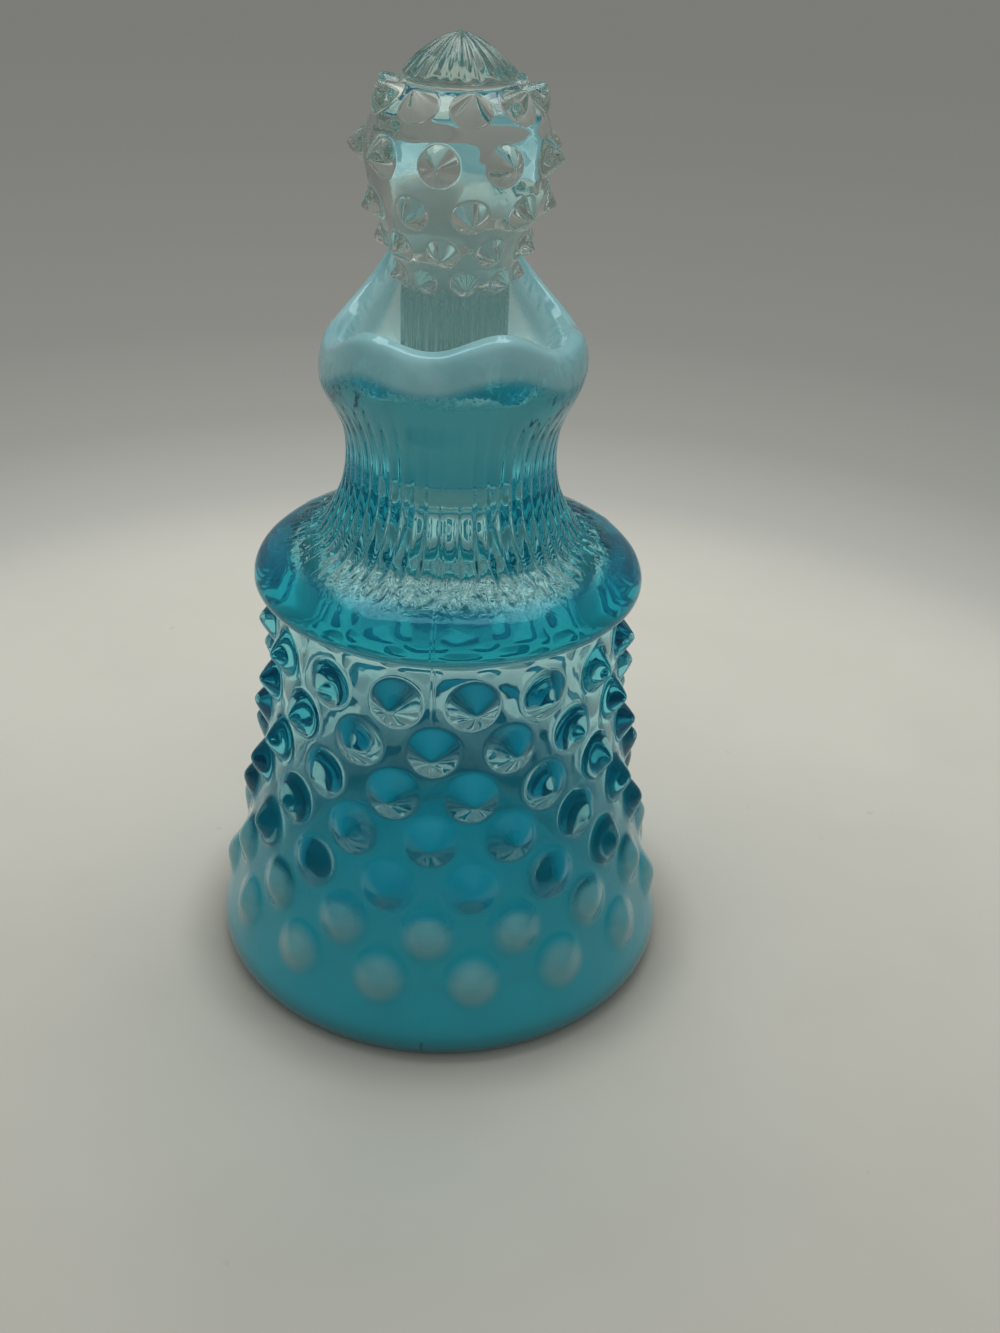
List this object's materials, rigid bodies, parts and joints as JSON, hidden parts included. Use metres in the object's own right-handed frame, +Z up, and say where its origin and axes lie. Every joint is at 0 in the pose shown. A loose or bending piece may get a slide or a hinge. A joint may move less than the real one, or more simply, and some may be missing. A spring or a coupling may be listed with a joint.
{
  "type": "hobnail glass cruet",
  "caption": "Bell-shaped hobnail glass cruet with a collar ring, ribbed neck and ruffled lip, closed by a ground hobnail stopper that lifts out.",
  "frame": {"origin": "on the ground, under the bottle's axis", "axes": "+Z up along the bottle's axis, the pictured front towards -Y"},
  "size_m": [0.07, 0.07, 0.1349],
  "materials": {
    "blue_glass": "gloss, opalescent at the foot and the lip",
    "clear_glass": "gloss, ground satin on the plug"
  },
  "bodies": {
    "bottle": {"bottle": "blue_glass"},
    "stopper": {"stopper": "clear_glass"}
  },
  "joints": [
    {"name": "stopper_lift", "type": "slide", "parent": "bottle", "child": "stopper", "axis": [0, 0, 1], "range_m": [0, 0.046]}
  ]
}
